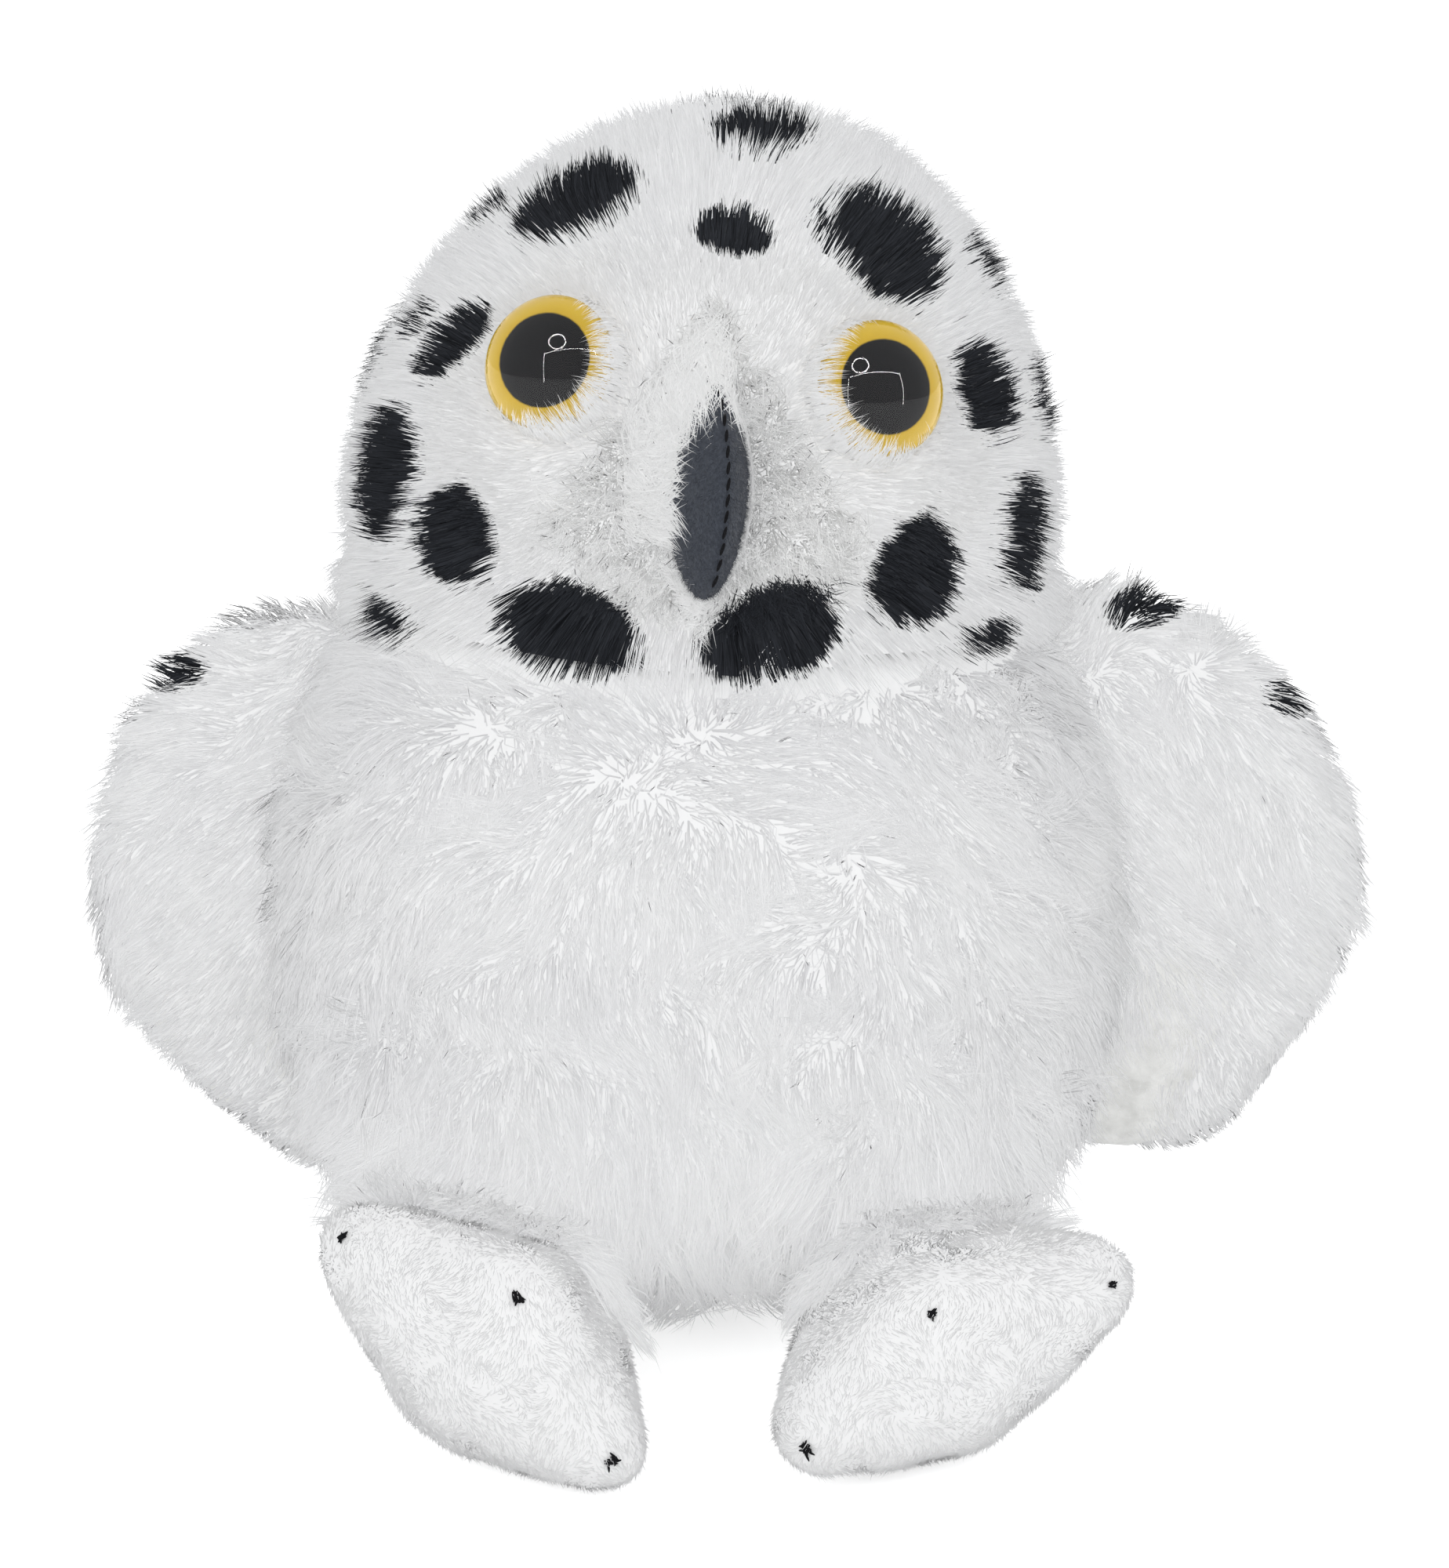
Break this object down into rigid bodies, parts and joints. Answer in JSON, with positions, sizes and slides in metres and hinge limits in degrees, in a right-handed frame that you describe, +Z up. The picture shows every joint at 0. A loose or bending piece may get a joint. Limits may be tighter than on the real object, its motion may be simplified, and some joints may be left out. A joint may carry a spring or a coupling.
{
  "type": "plush owl",
  "caption": "Seated plush snowy owl: fluffy white body, spotted fur head, domed yellow eyes, felt beak, side wings, three-toed feet and a short tail.",
  "frame": {"origin": "middle of the flat seat, on the ground", "axes": "+Z up, the owl looks along -Y, its left side is at +X"},
  "size_m": [0.2369, 0.1975, 0.224],
  "materials": {
    "shaggy_white_fur": "long shaggy pile",
    "spotted_fur": "long white pile with dyed black spots",
    "short_white_plush": "short pile",
    "trimmed_muzzle_fur": "trimmed fluffy pile",
    "slate_felt": "matt felt",
    "clear_lens": "clear, polished",
    "painted_eye_back": "yellow iris and black pupil",
    "washer_plastic": "moulded",
    "black_thread": "stitched",
    "fibre_filling": "loose fibre",
    "pellet_bag_cotton": "woven cotton over pellets"
  },
  "bodies": {
    "torso": {"body_belly_panel": "shaggy_white_fur", "body_back_panel": "spotted_fur", "body_base_panel": "shaggy_white_fur", "body_filling": "fibre_filling", "pellet_bag": "pellet_bag_cotton", "head_cover": "spotted_fur", "face_panel": "short_white_plush", "muzzle_panel": "trimmed_muzzle_fur", "head_filling": "fibre_filling", "eye_back_left": "painted_eye_back", "eye_back_right": "painted_eye_back", "eye_lens_left": "clear_lens", "eye_lens_right": "clear_lens", "eye_washer_left": "washer_plastic", "eye_washer_right": "washer_plastic", "beak_left_panel": "slate_felt", "beak_right_panel": "slate_felt", "beak_filling": "fibre_filling"},
    "wing_left": {"wing_left_front_panel": "shaggy_white_fur", "wing_left_back_panel": "spotted_fur", "wing_left_filling": "fibre_filling"},
    "wing_right": {"wing_right_front_panel": "shaggy_white_fur", "wing_right_back_panel": "spotted_fur", "wing_right_filling": "fibre_filling"},
    "foot_left": {"foot_left_top_panel": "short_white_plush", "foot_left_sole_panel": "short_white_plush", "foot_left_filling": "fibre_filling", "claw_left_inner": "black_thread", "claw_left_middle": "black_thread", "claw_left_outer": "black_thread"},
    "foot_right": {"foot_right_top_panel": "short_white_plush", "foot_right_sole_panel": "short_white_plush", "foot_right_filling": "fibre_filling", "claw_right_inner": "black_thread", "claw_right_middle": "black_thread", "claw_right_outer": "black_thread"},
    "tail": {"tail_upper_panel": "spotted_fur", "tail_lower_panel": "shaggy_white_fur", "tail_filling": "fibre_filling"}
  },
  "joints": [
    {"name": "wing_left_lift", "type": "hinge", "parent": "torso", "child": "wing_left", "pos_m": [0.0615, 0.013, 0.126], "axis": [0, -1, 0], "range_deg": [0, 45], "stiffness_Nm_per_rad": 0.03, "springref_deg": -5.73},
    {"name": "wing_right_lift", "type": "hinge", "parent": "torso", "child": "wing_right", "pos_m": [-0.0615, 0.013, 0.126], "axis": [0, 1, 0], "range_deg": [0, 45], "stiffness_Nm_per_rad": 0.03, "springref_deg": -5.73},
    {"name": "foot_left_swing", "type": "hinge", "parent": "torso", "child": "foot_left", "pos_m": [0.042, -0.047, 0.021], "axis": [1, 0, 0], "range_deg": [-10, 35], "stiffness_Nm_per_rad": 0.02},
    {"name": "foot_right_swing", "type": "hinge", "parent": "torso", "child": "foot_right", "pos_m": [-0.0345, -0.047, 0.021], "axis": [1, 0, 0], "range_deg": [-10, 35], "stiffness_Nm_per_rad": 0.02},
    {"name": "tail_flap", "type": "hinge", "parent": "torso", "child": "tail", "pos_m": [0, 0.05, 0.014], "axis": [1, 0, 0], "range_deg": [0, 40], "stiffness_Nm_per_rad": 0.01, "springref_deg": -5.73}
  ]
}
